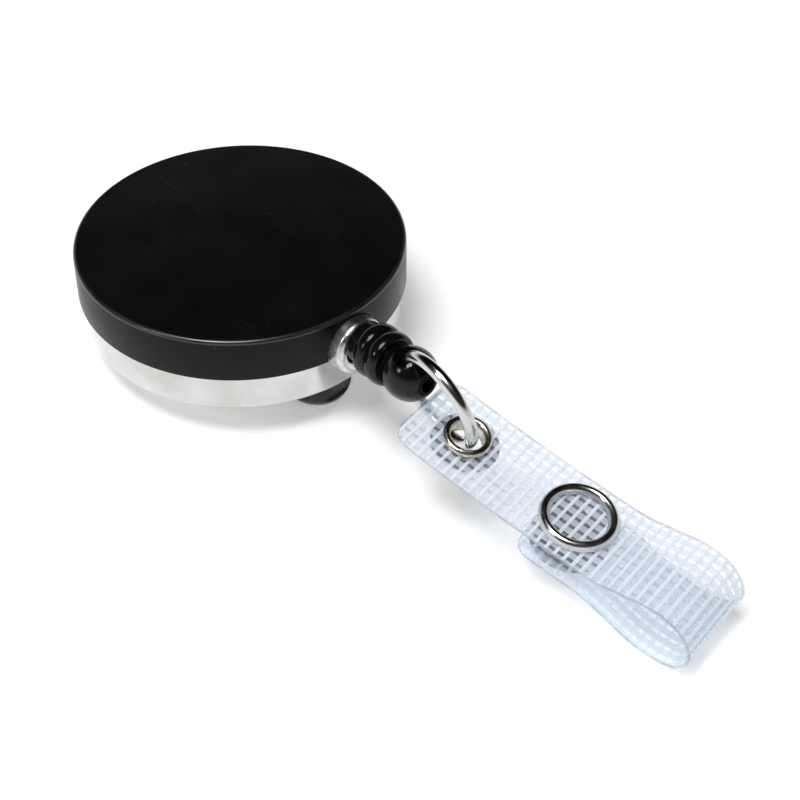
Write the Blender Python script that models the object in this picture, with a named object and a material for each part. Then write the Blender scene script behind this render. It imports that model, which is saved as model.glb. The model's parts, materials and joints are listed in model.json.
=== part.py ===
"""Retractable badge reel: a sprung cord reel in a round case, with a belt clip and a snap strap.

The reel is modelled in its own frame, whose origin is the middle of the case back and whose Z
runs through the case to the black face.  An empty then lays it on the table: it rests on the
bend and the tip of its belt clip, and the strap trails out to the right.
"""
import math

import bmesh
import bpy
from mathutils import Matrix, Vector

MM = 0.001
GAP = 0.3             # clearance between neighbouring pieces
FINE_GAP = 0.12       # clearance between the thin pieces pressed on to the strap

# How the reel lies on the table.
TABLE_TILT = math.radians(4.6)    # the cord side of the case is propped up by the clip
CASE_AT = (-25.95, 0.0, 3.132)      # middle of the case back, in the table's frame

# Case.
CAP_RADIUS = 20.0
CAP_TOP = 10.82
CAP_FOOT = 5.13
CAP_WALL = 1.0
CAP_FACE = 1.2
CAP_EDGE = 0.45
SHELL_RADIUS = 19.4
SHELL_EDGE = 1.0
SHELL_FLOOR = 1.0
RECESS_RADIUS = 8.0               # shallow recess pressed into the back, where the clip is riveted
RECESS_DEPTH = 0.15
SHELL_SPIGOT = CAP_RADIUS - CAP_WALL - GAP
SHELL_INSIDE = 17.9
SHELL_TOP = 9.3
SEAT_X = 18.9                     # flat pressed into the shell for the eyelet
SEAT_HALF = 4.6
ROUND = 72                        # facets round the case

# Eyelet that the cord leaves by.
EYELET_Z = 6.5
EYELET_BORE = 2.05
EYELET_LIP = 0.75
EYELET_LIP_X = 21.0
EYELET_BACK_X = 19.45
EYELET_BARREL = 2.6
EYELET_TAIL_X = 16.75
EYELET_TAIL = 2.8

# Spool, its axle and its spring.
AXLE_RADIUS = 1.8
POST_RADIUS = 3.0
POST_FOOT = SHELL_FLOOR + GAP
POST_STEP = 4.6
RIVET_RADIUS = 0.95
RIVET_HOLE = 1.25
SPOOL_BORE = AXLE_RADIUS + 0.08
SPOOL_FLANGE = 16.3
SPOOL_DRUM = 12.5
GROOVE_FOOT = 6.0
GROOVE_TOP = 8.5
FLANGE_THICK = 0.6
BARREL_RADIUS = 15.2
BARREL_FOOT = 1.4
WEB_FOOT = 4.9
SPRING_TURNS = 6
SPRING_THICK = 0.25
SPRING_HEIGHT = 2.6
SPRING_Z = 3.1

# Cord.
CORD_RADIUS = 0.4
LAYER_STEP = 0.85                 # each layer lies this far outside the one below
LAYERS = 4
LAYER_TURNS = 1.75
RAMP_TURNS = 0.08                 # how far round the cord climbs to the next layer

# Ribbed bead on the cord's end, along its own axis from the eyelet's mouth.
BEAD_AT = (20.5, 0.0, 7.77)
BEAD_PITCH = math.radians(3.1)
BEAD_YAW = math.radians(-3.3)
BEAD_MOUTH = 1.5
BEAD_NECK = 2.62
BEAD_RIB = 3.33
RIB_STATIONS = (4.05, 6.1)
RIB_HALF = 1.0
BALL_STATION = 9.8
BALL_RADIUS = 3.23
WAIST_RADIUS = 2.2
MOUTH_BORE = 0.6
CHAMBER_BORE = 1.35
CHAMBER_START = 2.2
END_HOLE = 0.85                   # small hole through the ball's end, past the cross hole
KNOT_RADIUS = 1.05
KNOT_STATION = 3.5
CROSS_HOLE = 1.55
CROSS_LEAN = math.radians(12.7)

# Wire ring between the bead and the strap.
RING_AT = (35.52, -1.2, 7.98)
RING_TURN = (math.radians(-77.4), 0.0, math.radians(-7.1))
RING_RADIUS = 5.71
WIRE_RADIUS = 0.75

# Belt clip, a bent strip of spring steel riveted to the back.
CLIP_THICK = 0.5
CLIP_WIDTH = 9.6
CLIP_TOP = -GAP
BEND_X = -11.0
BEND_RADIUS = 0.72
LEG_Z = CLIP_TOP - CLIP_THICK / 2
BEND_Z = LEG_Z - BEND_RADIUS
TONGUE_WAIST = (9.0, -1.75)       # where the tongue comes closest to the case
TONGUE_TIP = (17.0, -4.27)

# Strap: a vinyl strip looped back under itself.  Stations run along it from the frame's origin.
STRAP_AT = (36.11, -0.71, 4.46)
STRAP_TURN = (math.radians(2.6), math.radians(16.2), math.radians(10.0))
STRAP_WIDTH = 11.5
STRAP_THICK = 0.5
STRAP_CORNER = 2.2
UPPER_PATH = ((-3.5, 0), (5, 0), (14, 0.4), (23, 1.18), (27, 2.35), (30, 3.45),
              (32.5, 3.85), (34.6, 3.4), (36.2, 2.2), (36.95, 0.9), (37.05, 0.35))
FLAP_PATH = ((37.05, -0.35), (36.9, -1.0), (36.3, -2.0), (35.2, -2.8), (33.4, -3.35),
             (31.3, -3.5), (28.9, -3.2), (26, -2.6), (23, -2.34), (18.4, -2.63), (14.3, -2.9))
FOLD = (37.05, 0.0)
GROMMET_S = 2.97
GROMMET_BORE = 1.95
GROMMET_OUTER = 2.84
GROMMET_HOLE = 2.4
WASHER_OUTER = 4.0
SNAP_S = 18.4
SNAP_UPPER_H = 0.78
SNAP_LOWER_H = -2.63
SNAP_UPPER_TILT = math.radians(-4.95)
SNAP_LOWER_TILT = math.radians(-3.7)
SNAP_OUTER = 4.55
SNAP_INNER = 3.25
SNAP_PLATE = 4.1
SNAP_CUP = 2.1
SNAP_POST = 1.75

# Finishes: colour, roughness, metallic.
FINISHES = {
    "satin_black": ((0.018, 0.019, 0.020), 0.42, 0.0),
    "gloss_black": ((0.008, 0.008, 0.009), 0.16, 0.0),
    "chrome": ((0.80, 0.80, 0.79), 0.14, 1.0),
    "nickel": ((0.70, 0.66, 0.60), 0.2, 1.0),
    "spring_steel": ((0.24, 0.24, 0.25), 0.35, 1.0),
    "clear_vinyl": ((0.86, 0.89, 0.92), 0.28, 0.0),
    "black_cord": ((0.02, 0.02, 0.02), 0.8, 0.0),
    "white_acetal": ((0.75, 0.75, 0.72), 0.4, 0.0),
}


def clear_scene():
    for thing in list(bpy.data.objects):
        bpy.data.objects.remove(thing, do_unlink=True)


def millimetres(values):
    return tuple(value * MM for value in values)


def frame(name, parent, at=(0, 0, 0), turn=(0, 0, 0)):
    """An empty that carries the pieces built in its axes."""
    empty = bpy.data.objects.new(name, None)
    bpy.context.collection.objects.link(empty)
    empty.empty_display_size = 0.005
    return place(empty, parent, at, turn)


def place(thing, parent, at=(0, 0, 0), turn=(0, 0, 0)):
    thing.parent = parent
    thing.location = millimetres(at)
    thing.rotation_euler = turn
    return thing


def paint(thing, finish):
    colour, roughness, metallic = FINISHES[finish]
    material = bpy.data.materials.new(thing.name + "_" + finish)
    material.use_nodes = True
    shader = material.node_tree.nodes["Principled BSDF"]
    shader.inputs["Base Color"].default_value = (*colour, 1.0)
    shader.inputs["Roughness"].default_value = roughness
    shader.inputs["Metallic"].default_value = metallic
    thing.data.materials.append(material)
    return thing


def solid(name, mesh_builder, finish, sharp=30.0):
    """An object from a bmesh, in millimetres, closed and facing outward."""
    bmesh.ops.remove_doubles(mesh_builder, verts=mesh_builder.verts, dist=1e-4)
    bmesh.ops.recalc_face_normals(mesh_builder, faces=mesh_builder.faces)
    bmesh.ops.scale(mesh_builder, vec=(MM, MM, MM), verts=mesh_builder.verts)
    mesh = bpy.data.meshes.new(name)
    mesh_builder.to_mesh(mesh)
    mesh_builder.free()
    mesh.shade_smooth()
    mesh.set_sharp_from_angle(angle=math.radians(sharp))
    thing = bpy.data.objects.new(name, mesh)
    bpy.context.collection.objects.link(thing)
    return paint(thing, finish)


def arc(centre, radius, start, stop, steps):
    """Points (r, z) on an arc, with the angles in degrees from +r towards +z."""
    points = []
    for step in range(steps + 1):
        angle = math.radians(start + (stop - start) * step / steps)
        points.append((centre[0] + radius * math.cos(angle), centre[1] + radius * math.sin(angle)))
    return points


def lathe(name, outline, finish, facets=32, hollow=True):
    """A turned piece: its outline (r, z) is spun about Z; hollow outlines stay off the axis."""
    builder = bmesh.new()
    ring = [builder.verts.new((r, 0, z)) for r, z in outline]
    edges = [builder.edges.new(pair) for pair in zip(ring, ring[1:])]
    if hollow:
        edges.append(builder.edges.new((ring[-1], ring[0])))
    bmesh.ops.spin(builder, geom=ring + edges, cent=(0, 0, 0), axis=(0, 0, 1), dvec=(0, 0, 0),
                   angle=2 * math.pi, steps=facets, use_merge=True, use_duplicate=False)
    return solid(name, builder, finish)


def ribbon(name, path, thickness, half_width, finish):
    """A strip of even thickness along path (x, z), with its width along Y."""
    builder = bmesh.new()
    points = [Vector(point) for point in path]
    travelled = 0.0
    total = sum((b - a).length for a, b in zip(points, points[1:]))
    rows = []
    for index, point in enumerate(points):
        if index:
            travelled += (point - points[index - 1]).length
        before = points[max(index - 1, 0)]
        after = points[min(index + 1, len(points) - 1)]
        along = (after - before).normalized()
        across = Vector((-along.y, along.x)) * thickness / 2
        half = half_width(travelled, total)
        row = []
        for side, face in ((-1, -1), (1, -1), (1, 1), (-1, 1)):
            spot = point + across * face
            row.append(builder.verts.new((spot.x, side * half, spot.y)))
        rows.append(row)
    for low, high in zip(rows, rows[1:]):
        for side in range(4):
            after = (side + 1) % 4
            builder.faces.new((low[side], low[after], high[after], high[side]))
    builder.faces.new(rows[0])
    builder.faces.new(rows[-1])
    return solid(name, builder, finish)


def smooth_path(knots, step):
    """A smooth curve through the knots, with points about one step apart."""
    knots = [Vector(knot) for knot in knots]
    padded = [2 * knots[0] - knots[1]] + knots + [2 * knots[-1] - knots[-2]]
    points = []
    for before, start, stop, after in zip(padded, padded[1:], padded[2:], padded[3:]):
        pieces = max(1, round((stop - start).length / step))
        for piece in range(pieces):
            t = piece / pieces
            points.append(0.5 * ((2 * start) + (stop - before) * t
                                 + (2 * before - 5 * start + 4 * stop - after) * t ** 2
                                 + (3 * start - before - 3 * stop + after) * t ** 3))
    return points + [knots[-1]]


def tube(name, points, radius, finish, sides=2):
    """A round cord along points, with closed ends."""
    curve = bpy.data.curves.new(name, "CURVE")
    curve.dimensions = "3D"
    curve.bevel_depth = radius * MM
    curve.bevel_resolution = sides
    curve.use_fill_caps = True
    spline = curve.splines.new("POLY")
    spline.points.add(len(points) - 1)
    for spot, point in zip(spline.points, points):
        spot.co = (*millimetres(point), 1.0)
    thing = bpy.data.objects.new(name, curve)
    bpy.context.collection.objects.link(thing)
    return paint(thing, finish)


def cutter(name, builder, parent, at=(0, 0, 0), turn=(0, 0, 0)):
    """A guide solid, used only to cut others."""
    bmesh.ops.recalc_face_normals(builder, faces=builder.faces)
    bmesh.ops.scale(builder, vec=(MM, MM, MM), verts=builder.verts)
    mesh = bpy.data.meshes.new(name)
    builder.to_mesh(mesh)
    builder.free()
    guide = bpy.data.objects.new(name, mesh)
    bpy.context.collection.objects.link(guide)
    guide.hide_render = True
    guide.display_type = "WIRE"
    return place(guide, parent, at, turn)


def drill(name, radius, length, parent, at=(0, 0, 0), turn=(0, 0, 0), facets=40):
    builder = bmesh.new()
    bmesh.ops.create_cone(builder, cap_ends=True, segments=facets, radius1=radius,
                          radius2=radius, depth=length)
    return cutter(name, builder, parent, at, turn)


def block(name, low, high, parent):
    builder = bmesh.new()
    bmesh.ops.create_cube(builder, size=1.0)
    size = [b - a for a, b in zip(low, high)]
    middle = [(a + b) / 2 for a, b in zip(low, high)]
    bmesh.ops.scale(builder, vec=size, verts=builder.verts)
    return cutter(name, builder, parent, middle)


def cut(thing, *guides):
    for guide in guides:
        modifier = thing.modifiers.new("cut_" + guide.name, "BOOLEAN")
        modifier.operation = "DIFFERENCE"
        modifier.solver = "EXACT"
        modifier.object = guide
    return thing


SIDEWAYS = (0.0, math.radians(90), 0.0)     # turns a piece's own Z to point out of the case


def build_case(case):
    edge = arc((CAP_RADIUS - CAP_EDGE, CAP_TOP - CAP_EDGE), CAP_EDGE, 90, 0, 4)
    inside = CAP_RADIUS - CAP_WALL
    ceiling = CAP_TOP - CAP_FACE
    cap = lathe("front_cap", [(0, CAP_TOP), *edge, (CAP_RADIUS, CAP_FOOT), (inside, CAP_FOOT),
                              (inside, ceiling), (0, ceiling)], "satin_black", ROUND, False)
    place(cap, case)
    lip = EYELET_BORE + 2 * EYELET_LIP + GAP
    cut(cap, drill("cap_notch", lip, 6, case, (20, 0, EYELET_Z), SIDEWAYS))

    corner = arc((SHELL_RADIUS - SHELL_EDGE, SHELL_EDGE), SHELL_EDGE, -90, 0, 4)
    shoulder = CAP_FOOT - GAP
    shell = lathe("rear_shell", [(RIVET_HOLE, RECESS_DEPTH), (RECESS_RADIUS - 0.3, RECESS_DEPTH),
                                 (RECESS_RADIUS, 0), *corner, (SHELL_RADIUS, shoulder),
                                 (SHELL_SPIGOT, shoulder), (SHELL_SPIGOT, SHELL_TOP),
                                 (SHELL_INSIDE, SHELL_TOP), (SHELL_INSIDE, SHELL_FLOOR),
                                 (RIVET_HOLE, SHELL_FLOOR)], "chrome", ROUND)
    place(shell, case)
    hole = EYELET_BARREL + GAP / 2
    cut(shell,
        block("eyelet_seat", (SEAT_X, -SEAT_HALF - 1, -1), (21, SEAT_HALF + 1, shoulder + 0.1), case),
        drill("eyelet_hole", hole, 6, case, (18, 0, EYELET_Z), SIDEWAYS),
        block("eyelet_slot", (15, -hole, EYELET_Z), (21, hole, SHELL_TOP + 1), case))


def build_eyelet(case):
    middle = EYELET_BORE + EYELET_LIP
    rim = middle + EYELET_LIP
    lip = arc((middle, EYELET_LIP_X), EYELET_LIP, 0, 180, 10)
    tail = EYELET_TAIL_X
    outline = [(EYELET_BORE, tail + 0.15), (EYELET_BORE + 0.15, tail), (EYELET_TAIL, tail),
               (EYELET_TAIL, tail + 0.55), (EYELET_BARREL, tail + 0.55), (EYELET_BARREL, EYELET_BACK_X),
               (rim - 0.25, EYELET_BACK_X), (rim, EYELET_BACK_X + 0.25), *lip]
    eyelet = lathe("cord_eyelet", outline, "chrome", 40)
    place(eyelet, case, (0, 0, EYELET_Z), SIDEWAYS)


def build_spool(case):
    post = lathe("axle_post", [(0, SHELL_TOP), (AXLE_RADIUS, SHELL_TOP), (AXLE_RADIUS, POST_STEP),
                               (POST_RADIUS, POST_STEP), (POST_RADIUS, POST_FOOT),
                               (RIVET_HOLE, POST_FOOT), (RIVET_HOLE, 3.6), (0, 3.6)],
                 "white_acetal", 32, False)
    place(post, case)

    top = GROOVE_TOP + FLANGE_THICK
    step = GROOVE_FOOT - FLANGE_THICK
    hub = 3.2
    well = SPOOL_DRUM - 1.0
    spool = lathe("spool", [(SPOOL_BORE, WEB_FOOT), (BARREL_RADIUS - 0.8, WEB_FOOT),
                            (BARREL_RADIUS - 0.8, BARREL_FOOT), (BARREL_RADIUS, BARREL_FOOT),
                            (BARREL_RADIUS, step), (SPOOL_FLANGE, step),
                            (SPOOL_FLANGE, GROOVE_FOOT), (SPOOL_DRUM, GROOVE_FOOT),
                            (SPOOL_DRUM, GROOVE_TOP), (SPOOL_FLANGE, GROOVE_TOP),
                            (SPOOL_FLANGE, top), (well, top), (well, GROOVE_FOOT + 0.1),
                            (hub, GROOVE_FOOT + 0.1), (hub, top), (SPOOL_BORE, top)],
                  "white_acetal", 56)
    place(spool, case)

    inner = POST_RADIUS + 0.5
    outer = BARREL_RADIUS - 0.8 - 0.5
    steps = SPRING_TURNS * 22
    spiral = []
    for step in range(steps + 1):
        angle = 2 * math.pi * SPRING_TURNS * step / steps
        radius = inner + (outer - inner) * step / steps
        spiral.append((radius * math.cos(angle), radius * math.sin(angle)))
    spring = ribbon("power_spring", spiral, SPRING_THICK,
                    lambda travelled, total: SPRING_HEIGHT / 2, "spring_steel")
    place(spring, case, (0, 0, SPRING_Z), (math.radians(90), 0, 0))


def cord_leaving():
    """Where the cord leaves the coil, on the line that just touches the coil from the eyelet."""
    radius = SPOOL_DRUM + CORD_RADIUS + 0.15 + (LAYERS - 1) * LAYER_STEP
    mouth = Vector((EYELET_TAIL_X + 0.4, 0.0))
    angle = -math.acos(radius / mouth.length)
    return radius, angle


def build_cord(case, bead):
    low = GROOVE_FOOT + CORD_RADIUS + 0.05
    high = GROOVE_TOP - CORD_RADIUS - 0.05
    outer, leaving = cord_leaving()
    first = outer - (LAYERS - 1) * LAYER_STEP
    layer_span = LAYER_TURNS + RAMP_TURNS
    turns = LAYERS * LAYER_TURNS + (LAYERS - 1) * RAMP_TURNS
    steps = round(turns * 20)
    coil = []
    for step in range(steps + 1):
        turn = turns * step / steps
        layer = min(int(turn / layer_span), LAYERS - 1)
        within = turn - layer * layer_span
        climb = max(0.0, within - LAYER_TURNS) / RAMP_TURNS
        rise = min(within / LAYER_TURNS, 1.0)
        height = low + (high - low) * (rise if layer % 2 else 1 - rise)
        radius = first + (layer + climb) * LAYER_STEP
        angle = leaving - 0.06 - 2 * math.pi * (turns - turn)
        coil.append((radius * math.cos(angle), radius * math.sin(angle), height))
    place(tube("wound_cord", coil, CORD_RADIUS, "black_cord"), case)

    axis = bead.matrix_local.to_3x3() @ Vector((0, 0, 1))
    start = Vector(BEAD_AT)
    touch = Vector((outer * math.cos(leaving), outer * math.sin(leaving), coil[-1][2]))
    mouth = start - axis * (start.x - EYELET_TAIL_X - 0.4)
    tangent = (mouth - touch).normalized()
    level = Vector((tangent.x, tangent.y, 0))
    route = [touch, touch + level * 1.5, touch + level * 3, mouth - tangent * 1.2,
             mouth + axis * 0.9]
    route += [start + axis * d for d in (-1.0, 0.0, BEAD_MOUTH, CHAMBER_START + 0.1)]
    place(tube("cord_lead", smooth_path(route, 1.0), CORD_RADIUS, "black_cord"), case)


def build_bead(case, bead):
    outline = [(MOUTH_BORE, BEAD_MOUTH + 0.1), (MOUTH_BORE + 0.1, BEAD_MOUTH),
               (BEAD_NECK - 0.25, BEAD_MOUTH), (BEAD_NECK, BEAD_MOUTH + 0.25)]
    for station in RIB_STATIONS:
        for angle in range(-90, 91, 30):
            swell = math.cos(math.radians(angle)) ** 0.8
            outline.append((BEAD_NECK + (BEAD_RIB - BEAD_NECK) * swell,
                            station + RIB_HALF * math.sin(math.radians(angle))))
    waist = BALL_STATION - math.sqrt(BALL_RADIUS ** 2 - WAIST_RADIUS ** 2)
    outline.append((WAIST_RADIUS, waist - 0.45))
    start = math.degrees(math.asin((waist - BALL_STATION) / BALL_RADIUS))
    finish = math.degrees(math.acos(END_HOLE / BALL_RADIUS))
    outline += arc((0, BALL_STATION), BALL_RADIUS, start, finish, 12)
    outline += [(END_HOLE, BALL_STATION), (CHAMBER_BORE, BALL_STATION),
                (CHAMBER_BORE, CHAMBER_START), (MOUTH_BORE, CHAMBER_START)]
    body = lathe("cord_bead", outline, "gloss_black", 36)
    place(body, bead)
    ball = bead.matrix_local @ Vector((0, 0, BALL_STATION * MM))
    cut(body, drill("cross_hole", CROSS_HOLE, 9, case, ball / MM, (CROSS_LEAN, 0, 0), 28))

    knot = lathe("cord_knot", [(0, -KNOT_RADIUS), *arc((0, 0), KNOT_RADIUS, -60, 60, 4),
                               (0, KNOT_RADIUS)], "black_cord", 16, False)
    place(knot, bead, (0, 0, KNOT_STATION))


def build_ring(ring):
    wire = lathe("connector_ring", arc((RING_RADIUS, 0), WIRE_RADIUS, 0, 330, 11), "chrome", 48)
    place(wire, ring)


def rounded_ends(width, corner, near=True, far=True):
    """Half width along a strip whose ends have round corners."""
    def half(travelled, total):
        trim = 0.0
        for wanted, distance in ((near, travelled), (far, total - travelled)):
            if wanted and distance < corner:
                trim = corner - math.sqrt(max(0.0, corner ** 2 - (corner - distance) ** 2))
        return width / 2 - trim * 0.97
    return half


def dense_ends(path, corner, near, far):
    """Extra points over the round corners at a strip's ends."""
    path = [Vector(point) for point in path]
    for wanted, flip in ((near, False), (far, True)):
        if not wanted:
            continue
        if flip:
            path.reverse()
        start = path[0]
        along = (path[1] - start).normalized()
        kept = [point for point in path if (point - start).length > corner * 1.05]
        extra = [start + along * corner * (1 - math.cos(math.radians(a))) for a in range(0, 91, 15)]
        path = extra + kept
        if flip:
            path.reverse()
    return path


def build_clip(case, bend):
    leg = [(5.0, LEG_Z), (BEND_X + 0.4, LEG_Z)]
    base = ribbon("clip_base", dense_ends(leg, 1.5, True, False), CLIP_THICK,
                  rounded_ends(CLIP_WIDTH, 1.5, True, False), "spring_steel")
    place(base, case)
    cut(base, drill("rivet_hole", RIVET_HOLE, 3, case, (0, 0, LEG_Z)))

    turn = [(x, z) for x, z in arc((0, 0), BEND_RADIUS, 90, 262, 10)]
    waist = (TONGUE_WAIST[0] - BEND_X, TONGUE_WAIST[1] - BEND_Z)
    tip = (TONGUE_TIP[0] - BEND_X, TONGUE_TIP[1] - BEND_Z)
    flare = smooth_path([(waist[0] - 8, waist[1] - 0.15), waist, (waist[0] + 2.6, waist[1] - 0.45),
                         tip], 0.8)
    round_tip = CLIP_WIDTH / 2
    path = dense_ends(turn + flare, round_tip, False, True)
    tongue = ribbon("clip_tongue", path, CLIP_THICK,
                    rounded_ends(CLIP_WIDTH, round_tip, False, True), "spring_steel")
    place(tongue, bend)

    head = LEG_Z - CLIP_THICK / 2 - GAP
    rivet = lathe("clip_rivet", [(0, head - 0.35), (1.7, head - 0.35), (2.0, head - 0.12),
                                 (2.0, head), (RIVET_RADIUS, head), (RIVET_RADIUS, 3.3), (0, 3.3)],
                  "chrome", 28, False)
    place(rivet, case)


def prong_ring(name, side):
    """Half-round ring whose flat foot faces the strap; side is +1 above it and -1 below it."""
    foot = STRAP_THICK / 2 + FINE_GAP
    middle = (SNAP_OUTER + SNAP_INNER) / 2
    half = (SNAP_OUTER - SNAP_INNER) / 2
    outline = []
    for radius, height in arc((middle, 0), half, 0, 180, 8):
        outline.append((radius, side * (foot + height * 1.35)))
    return lathe(name, outline, "chrome", 40)


def build_strap(strap, fold):
    upper_path = dense_ends(smooth_path(UPPER_PATH, 1.0), STRAP_CORNER, True, False)
    upper = ribbon("strap_upper", upper_path, STRAP_THICK,
                   rounded_ends(STRAP_WIDTH, STRAP_CORNER, True, False), "clear_vinyl")
    place(upper, strap)
    cut(upper, drill("grommet_hole", GROMMET_HOLE, 4, strap, (GROMMET_S, 0, 0)))

    flap_path = [Vector(knot) - Vector(FOLD) for knot in FLAP_PATH]
    flap_path = dense_ends(smooth_path(flap_path, 1.0), STRAP_CORNER, False, True)
    flap = ribbon("strap_flap", flap_path, STRAP_THICK,
                  rounded_ends(STRAP_WIDTH, STRAP_CORNER, False, True), "clear_vinyl")
    place(flap, fold)

    foot = STRAP_THICK / 2 + FINE_GAP
    middle = (GROMMET_BORE + GROMMET_OUTER) / 2
    half = (GROMMET_OUTER - GROMMET_BORE) / 2
    roll = 0.24
    rolled = arc((GROMMET_BORE + 0.18 + roll, -foot - 0.37 - roll), roll, 90, -180, 6)
    lip = arc((middle, foot + half), half, -75, 180, 9)
    barrel = GROMMET_BORE + 0.35
    grommet = lathe("grommet_eyelet", [*reversed(rolled), (barrel, -foot - 0.35), (barrel, foot),
                                       *lip, (GROMMET_BORE, -foot - 0.3)], "nickel", 36)
    place(grommet, strap, (GROMMET_S, 0, 0))
    washer = lathe("grommet_washer", [(GROMMET_HOLE, -foot), (WASHER_OUTER, -foot),
                                      (WASHER_OUTER, -foot - 0.25), (GROMMET_HOLE, -foot - 0.25)],
                   "nickel", 36)
    place(washer, strap, (GROMMET_S, 0, 0))

    above = ((SNAP_S, 0, SNAP_UPPER_H), (0, SNAP_UPPER_TILT, 0))
    below = ((SNAP_S - FOLD[0], 0, SNAP_LOWER_H - FOLD[1]), (0, SNAP_LOWER_TILT, 0))
    plate = foot + 0.38
    place(prong_ring("snap_prong_ring_top", 1), strap, *above)
    socket = lathe("snap_socket", [(0, -foot), (SNAP_PLATE, -foot), (SNAP_PLATE, -plate),
                                   (SNAP_CUP + 0.7, -plate), (SNAP_CUP + 0.7, -plate - 0.9),
                                   (SNAP_CUP, -plate - 0.9), (SNAP_CUP, -plate), (0, -plate)],
                   "chrome", 36, False)
    place(socket, strap, *above)
    stud = lathe("snap_stud", [(0, foot), (SNAP_PLATE, foot), (SNAP_PLATE, plate),
                               (SNAP_POST, plate), (SNAP_POST, plate + 1.4),
                               (SNAP_POST - 0.25, plate + 1.6), (0, plate + 1.6)],
                 "chrome", 36, False)
    place(stud, fold, *below)
    place(prong_ring("snap_prong_ring_bottom", -1), fold, *below)


def build():
    clear_scene()
    case = frame("case_frame", None, CASE_AT, (0, -TABLE_TILT, 0))
    bead = frame("bead_frame", case, BEAD_AT, (0, math.radians(90) - BEAD_PITCH, BEAD_YAW))
    bend = frame("clip_bend", case, (BEND_X, 0, BEND_Z))
    ring = frame("ring_frame", case, RING_AT, RING_TURN)
    strap = frame("strap_frame", ring)
    bpy.context.view_layer.update()
    strap_in_case = Matrix.LocRotScale(Vector(STRAP_AT) * MM, strap_rotation(), None)
    strap.matrix_basis = ring.matrix_local.inverted() @ strap_in_case
    fold = frame("fold_frame", strap, (FOLD[0], 0, FOLD[1]))
    bpy.context.view_layer.update()
    build_case(case)
    build_eyelet(case)
    build_spool(case)
    build_cord(case, bead)
    build_bead(case, bead)
    build_ring(ring)
    build_clip(case, bend)
    build_strap(strap, fold)


def strap_rotation():
    roll, pitch, yaw = STRAP_TURN
    turn = Matrix.Rotation(yaw, 3, "Z") @ Matrix.Rotation(pitch, 3, "Y")
    return (turn @ Matrix.Rotation(roll, 3, "X")).to_quaternion()


build()
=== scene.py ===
"""The looks of the retractable badge reel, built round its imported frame.

Lengths are in millimetres in each part's own axes, which come from the frame's joints.
"""
import json
import math
import random

import bmesh
import bpy
from mathutils import Matrix, Vector


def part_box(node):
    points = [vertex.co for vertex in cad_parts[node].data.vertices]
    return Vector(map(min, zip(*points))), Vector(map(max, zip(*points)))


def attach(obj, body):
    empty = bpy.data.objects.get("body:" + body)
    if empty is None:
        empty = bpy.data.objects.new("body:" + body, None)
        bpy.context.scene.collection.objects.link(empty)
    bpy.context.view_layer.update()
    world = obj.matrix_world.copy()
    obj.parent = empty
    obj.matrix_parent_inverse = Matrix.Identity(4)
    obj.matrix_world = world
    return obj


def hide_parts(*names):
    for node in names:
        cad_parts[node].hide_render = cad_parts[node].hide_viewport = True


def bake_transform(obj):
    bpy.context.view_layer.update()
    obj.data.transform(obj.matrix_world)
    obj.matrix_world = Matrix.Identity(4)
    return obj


MM = 0.001
GAP = 0.3                         # clearance between neighbouring pieces
SHARP_ANGLE = 38.0                # a crease steeper than this many degrees is drawn sharp

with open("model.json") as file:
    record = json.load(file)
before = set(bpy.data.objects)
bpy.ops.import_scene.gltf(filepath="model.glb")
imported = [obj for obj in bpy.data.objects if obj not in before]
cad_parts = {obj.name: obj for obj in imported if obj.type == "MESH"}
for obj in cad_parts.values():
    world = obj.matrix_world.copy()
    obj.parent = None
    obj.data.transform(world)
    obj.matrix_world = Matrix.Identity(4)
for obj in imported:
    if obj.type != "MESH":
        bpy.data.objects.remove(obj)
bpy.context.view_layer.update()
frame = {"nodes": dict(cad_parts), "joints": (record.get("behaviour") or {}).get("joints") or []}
joints = {joint["name"]: joint for joint in frame["joints"]}
draw = random.Random(7)

# Case.
CAP_RADIUS = 20.0
CAP_TOP = 10.82
CAP_FOOT = 5.13
CAP_EDGE = 0.45
CAP_WALL = 1.0
CAP_FACE = 1.2
SHELL_RADIUS = 19.4
SHELL_EDGE = 1.0
SHELL_TOP = 9.3
SHELL_INSIDE = 17.9
SHELL_SPIGOT = 18.7
SHELL_FLOOR = 1.0
SEAT_X = 18.9
SEAT_HALF = 5.6                   # the guide that cuts the flat is wider than the flat itself
RIVET_HOLE = 1.25
RECESS_RADIUS = 8.0
RECESS_DEPTH = 0.15

# Eyelet, cord and bead.
EYELET_Z = 6.5
EYELET_BORE = 2.05
EYELET_LIP = 0.75
EYELET_LIP_X = 21.0
EYELET_BACK_X = 19.45
EYELET_TAIL_X = 16.75
EYELET_TAIL = 2.8
EYELET_TAIL_THICK = 0.55
EYELET_BARREL = 2.6
CORD_RADIUS = 0.4
CORD_TAIL = 4.2                   # how far the straight stretch of cord runs back into the case
BEAD_MOUTH = 1.5
BEAD_NECK = 2.62
BEAD_RIB = 3.33
RIB_STATIONS = (4.05, 6.1)
RIB_HALF = 1.0
BALL_STATION = 9.8
BALL_RADIUS = 3.23
WAIST_RADIUS = 2.2
MOUTH_BORE = 0.6
CHAMBER_BORE = 1.35
CHAMBER_START = 2.2
END_HOLE = 0.85
CROSS_HOLE = 1.55
SEAM_DROP = 0.85                  # the bead's parting line runs this far below its axis
SEAM_HALF = 0.07
SEAM_RISE = 0.035

# Ring.
RING_RADIUS = 5.71
WIRE_RADIUS = 0.75

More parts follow.
